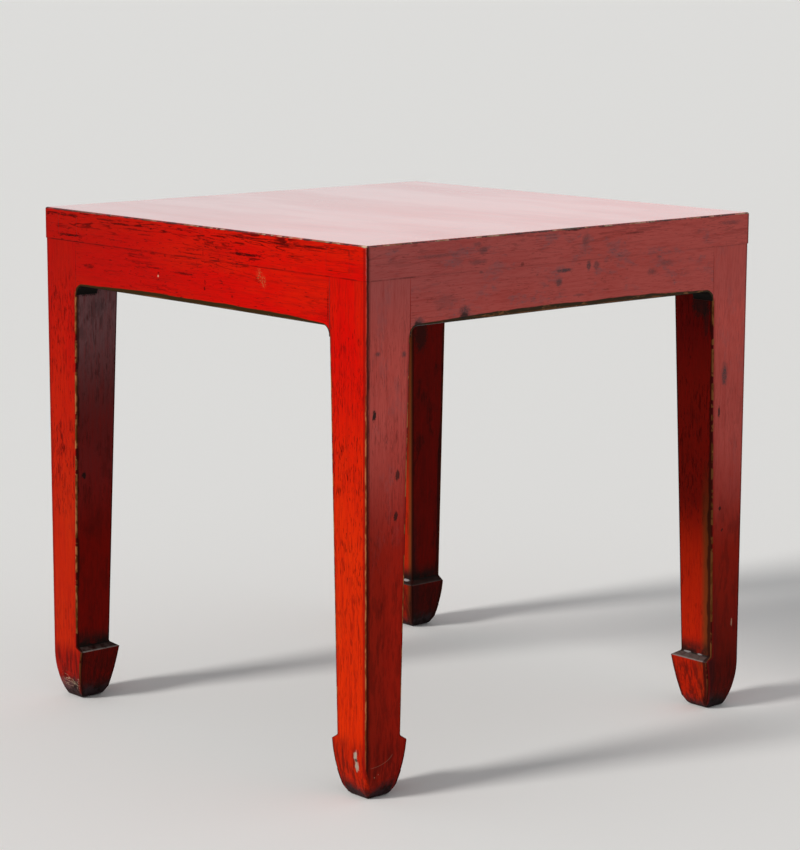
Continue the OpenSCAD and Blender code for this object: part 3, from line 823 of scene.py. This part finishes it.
STILE_MARKS = CRACK_BY_TENON + WORN_CORNER_GLINT + front_marks(-TOP_D / 2, [
    (55.0, 341.8, 15.0, 1.0, WINE, 0.95),
    (64.0, 339.8, 7.0, 0.6, WINE, 0.75),
    (-2.0, 337.6, 13.0, 0.45, WINE, 0.65),
    (9.5, 339.6, 0.5, 3.0, WINE, 0.55),
    (-3.0, 340.9, 11.0, 0.35, WINE, 0.45),
    (-100.0, 353.0, 10.0, 0.6, WINE, 0.7),
    (-84.0, 351.2, 10.0, 0.7, WINE, 0.75),
    (-68.0, 349.0, 9.0, 0.6, WINE, 0.65),
    (-55.0, 346.2, 8.0, 0.5, WINE, 0.55),
    (58.0, 353.2, 30.0, 0.5, WINE, 0.7),
    (112.0, 352.0, 26.0, 0.8, WINE, 0.75),
    (98.0, 349.8, 11.0, 0.45, WINE, 0.55),
    (-20.0, 352.5, 16.0, 0.45, WINE, 0.5),
])
RAIL_MARKS = CRACK_BY_TENON + right_marks(TOP_W / 2, [
    (-79.5, 348.0, 4.0, 2.2, SLATE, 0.65),
    (-85.0, 352.0, 3.5, 1.4, SLATE, 0.5),
    (-84.0, 340.5, 7.0, 1.6, SLATE, 0.5),
    (-120.0, 347.0, 16.0, 1.2, SLATE, 0.5),
    (14.0, 348.0, 3.0, 4.5, SLATE, 0.55),
    (1.0, 356.4, 10.0, 1.2, DARK, 0.8),
    (62.0, 350.0, 8.0, 0.6, DARK, 0.5),
    (158.0, 351.0, 9.0, 1.5, SLATE, 0.5),
    (-44.5, 336.2, 1.4, 1.4, DARK, 0.42),
])
FRONT_APRON_MARKS = front_marks(-BODY_D / 2, [
    (-41.0, 319.4, 0.8, 0.7, CREAM, 0.6),
    (-40.7, 321.2, 0.9, 0.9, WINE, 0.8),
    (69.0, 329.0, 3.2, 4.5, TAN, 0.5),
    (73.0, 325.5, 2.6, 4.0, TAN, 0.45),
    (10.8, 319.8, 0.8, 1.6, WINE, 0.85),
    (10.4, 315.6, 0.9, 1.2, WINE, 0.85),
    (-44.0, 324.4, 9.0, 0.6, WINE, 0.7),
    (-14.0, 323.4, 11.0, 0.8, WINE, 0.75),
    (-122.0, 319.0, 6.5, 1.4, WINE, 0.65),
    (50.0, 334.0, 8.0, 0.9, WINE, 0.55),
    (-33.0, 334.2, 1.3, 1.0, WINE, 0.8),
    (40.0, 313.0, 1.2, 1.0, WINE, 0.6),
    (137.0, 315.0, 0.5, 11.0, WINE, 0.75),
])
RIGHT_APRON_MARKS = right_marks(BODY_W / 2, [
    (-6.0, 329.4, 7.0, 1.2, SLATE, 1.0),
    (-10.5, 321.5, 2.9, 2.4, SLATE, 0.9),
    (17.4, 331.2, 1.6, 3.4, SLATE, 0.95),
    (25.0, 330.8, 2.6, 2.4, SLATE, 0.75),
    (79.0, 322.6, 4.0, 2.2, SLATE, 0.6),
    (93.0, 327.6, 7.0, 2.0, SLATE, 0.5),
    (85.5, 332.0, 2.0, 1.2, SLATE, 0.5),
    (-95.0, 309.6, 4.5, 3.2, SLATE, 0.9),
    (-134.0, 306.5, 3.5, 2.4, SLATE, 0.8),
    (-96.0, 307.0, 3.5, 1.8, SOOT, 0.75),
    (-135.5, 304.0, 4.0, 2.4, SOOT, 0.8),
    (9.0, 312.0, 4.5, 0.9, SLATE, 0.55),
    (-81.0, 333.6, 1.8, 0.9, SLATE, 0.7),
    (-112.0, 317.0, 9.0, 5.0, SLATE, 0.3),
])
RIGHT_LEG_MARKS = right_marks(BODY_W / 2, [
    (-171.5, 250.5, 1.5, 3.6, SOOT, 0.95),
    (-152.0, 210.5, 1.7, 3.4, SOOT, 0.8),
    (-153.4, 184.0, 1.5, 3.0, SOOT, 0.85),
    (-146.8, 287.0, 1.8, 1.8, SLATE, 0.85),
    (-168.5, 289.0, 1.8, 1.4, SLATE, 0.75),
    (155.5, 244.0, 2.8, 7.0, SLATE, 0.95),
    (150.6, 217.8, 1.1, 3.4, SOOT, 0.9),
    (153.9, 148.0, 1.4, 1.4, SOOT, 0.8),
    (156.6, 132.0, 1.1, 1.1, SOOT, 0.8),
    (169.3, 62.8, 0.7, 2.8, CREAM, 0.4),
])
# On the feet and the inner faces: centre and radii in mm, colour and strength
LEG_MARKS = RIGHT_LEG_MARKS + [
    ((174.0, -169.5, 15.5), (3.0, 0.4, 0.4), CREAM, 0.3),
    ((174.0, -166.5, 17.0), (3.0, 0.3, 0.3), CREAM, 0.25),
    ((-163.0, -177.0, 9.0), (10.0, 6.0, 4.5), SMUDGE, 0.30),
    ((-140.0, 152.0, 240.0), (4.0, 6.5, 14.0), SOOT, 0.7),
    ((163.8, -177.0, 28.8), (1.5, 4.0, 3.9), SCRAPE, 0.95),
    ((164.6, -177.0, 22.6), (1.6, 4.0, 3.6), SCRAPE, 0.9),
    ((166.3, -177.5, 32.0), (0.5, 3.0, 2.0), SOOT, 0.8),
    ((164.2, -177.5, 26.6), (1.5, 3.0, 1.1), SOOT, 0.8),
    ((-141.0, -170.9, 166.2), (4.0, 1.8, 2.4), SOOT, 0.9),
    ((-140.0, -157.5, 287.0), (4.0, 3.5, 6.0), SLATE, 0.55),
    # Painted shade where the end of the front apron meets the inner face of the front left leg
    ((-139.0, -166.0, 298.5), (4.0, 8.0, 2.6), SOOT, 0.9),
    ((163.5, 142.0, 293.0), (8.0, 4.0, 8.0), SOOT, 0.75),
    ((168.5, 142.0, 284.0), (2.5, 4.0, 12.0), SOOT, 0.5),
    # Painted glints on the ledges of the rear feet
    ((-151.0, 147.0, 39.2), (4.0, 1.4, 0.9), GLINT, 0.6),
    ((152.0, 148.4, 40.0), (3.0, 0.9, 0.6), GLINT, 0.35),
    ((164.0, 148.4, 40.0), (2.2, 0.9, 0.6), GLINT, 0.35),
]


# Build

looks = {
    "stile": lacquer("lacquer_stile", "x", "member", STILE_MARKS),
    "rail": lacquer("lacquer_rail", "y", "member", RAIL_MARKS),
    "board": lacquer("lacquer_board", "x", "board"),
    "apron_x": lacquer("lacquer_apron_x", "x", "apron", FRONT_APRON_MARKS),
    "apron_y": lacquer("lacquer_apron_y", "y", "apron", RIGHT_APRON_MARKS),
    "leg": lacquer("lacquer_leg", "z", "leg", LEG_MARKS),
    "batten": stained_wood("stained_batten", "y"),
}

for names, look in [
    (STILES, "stile"), (RAILS, "rail"), (BOARDS, "board"), (APRONS_X, "apron_x"),
    (APRONS_Y, "apron_y"), (LEGS, "leg"), (BATTENS, "batten"), (WEDGES, "stile"),
]:
    for name in names:
        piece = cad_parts[name]
        if name not in BOARDS + BATTENS + WEDGES:
            piece = worn_copy(name)
        if not piece.data.materials:
            piece.data.materials.append(looks[look])
        for index in range(len(piece.data.materials)):
            piece.data.materials[index] = looks[look]


# Stage, light and camera, with places in metres

FLOOR_REACH, FLOOR_DROP = 30.0, 0.0002
FLOOR_COLOUR, FLOOR_ROUGH, FLOOR_SPECULAR = (0.94, 0.93, 0.91), 0.9, 0.1
AMBIENT_COLOUR, AMBIENT_STRENGTH = (0.96, 0.98, 1.0), 0.42
WHITE = (1.0, 1.0, 1.0)
SUN_COLOUR, SUN_ENERGY, SUN_ANGLE = (1.0, 0.985, 0.96), 2.1, math.radians(14)
SUN_FROM = Vector((-0.22, -1.0, 0.62))

# Camera solved from the edges of the stand in the photograph
CAMERA_AT = Vector((1.40932, -1.24888, 0.52930))
AZIMUTH, ELEVATION, ROLL = math.radians(48.332), math.radians(9.850), math.radians(0.1856)
LENS, SENSOR_W = 113.0, 36.0
CLIP_START, CLIP_END = 0.05, 100.0


def add_floor():
    """A wide pale floor, just under the feet."""
    mesh = bpy.data.meshes.new("floor")
    corners = [(x * FLOOR_REACH, y * FLOOR_REACH, 0) for x, y in [(-1, -1), (1, -1), (1, 1), (-1, 1)]]
    mesh.from_pydata(corners, [], [(0, 1, 2, 3)])
    floor = bpy.data.objects.new("floor", mesh)
    floor.location.z = -FLOOR_DROP
    bpy.context.scene.collection.objects.link(floor)
    material = bpy.data.materials.new("floor")
    material.use_nodes = True
    shader = material.node_tree.nodes["Principled BSDF"]
    shader.inputs["Base Color"].default_value = FLOOR_COLOUR + (1,)
    shader.inputs["Roughness"].default_value = FLOOR_ROUGH
    shader.inputs["Specular IOR Level"].default_value = FLOOR_SPECULAR
    mesh.materials.append(material)


def add_background(tree, colour, strength):
    """A background shader of one colour."""
    background = tree.nodes.new("ShaderNodeBackground")
    background.inputs[0].default_value = colour + (1,)
    background.inputs[1].default_value = strength
    return background.outputs[0]


def add_world():
    """A soft ambient light, and a plain white world for the camera and for reflections."""
    world = bpy.data.worlds.new("studio")
    bpy.context.scene.world = world
    world.use_nodes = True
    tree = world.node_tree
    tree.nodes.clear()
    paths = tree.nodes.new("ShaderNodeLightPath")
    seen = paths.outputs["Is Camera Ray"]
    for ray in ("Is Glossy Ray", "Is Transmission Ray"):
        either = tree.nodes.new("ShaderNodeMath")
        either.operation = "MAXIMUM"
        tree.links.new(seen, either.inputs[0])
        tree.links.new(paths.outputs[ray], either.inputs[1])
        seen = either.outputs[0]
    blend = tree.nodes.new("ShaderNodeMixShader")
    tree.links.new(seen, blend.inputs[0])
    tree.links.new(add_background(tree, AMBIENT_COLOUR, AMBIENT_STRENGTH), blend.inputs[1])
    tree.links.new(add_background(tree, WHITE, 1.0), blend.inputs[2])
    out = tree.nodes.new("ShaderNodeOutputWorld")
    tree.links.new(blend.outputs[0], out.inputs[0])


def add_sun():
    """The key light: a broad sun from the front left."""
    sun = bpy.data.lights.new("key", "SUN")
    sun.energy = SUN_ENERGY
    sun.angle = SUN_ANGLE
    sun.color = SUN_COLOUR
    sun_object = bpy.data.objects.new("key", sun)
    sun_object.rotation_mode = "QUATERNION"
    sun_object.rotation_quaternion = SUN_FROM.to_track_quat("Z", "Y")
    bpy.context.scene.collection.objects.link(sun_object)


def add_camera():
    """The camera of the photograph."""
    back = Vector((
        math.sin(AZIMUTH) * math.cos(ELEVATION),
        -math.cos(AZIMUTH) * math.cos(ELEVATION),
        math.sin(ELEVATION),
    ))
    level = (-back).cross(Vector((0, 0, 1))).normalized()
    upward = level.cross(-back)
    rolled_right = level * math.cos(ROLL) + upward * math.sin(ROLL)
    rolled_up = upward * math.cos(ROLL) - level * math.sin(ROLL)
    camera = bpy.data.cameras.new("camera")
    camera.sensor_width = SENSOR_W
    camera.lens = LENS
    camera.clip_start, camera.clip_end = CLIP_START, CLIP_END
    camera_object = bpy.data.objects.new("camera", camera)
    camera_object.matrix_world = Matrix((rolled_right, rolled_up, back)).transposed().to_4x4()
    camera_object.location = CAMERA_AT
    bpy.context.scene.collection.objects.link(camera_object)
    bpy.context.scene.camera = camera_object


add_floor()
add_world()
add_sun()
add_camera()
bpy.context.scene.view_settings.view_transform = "Standard"
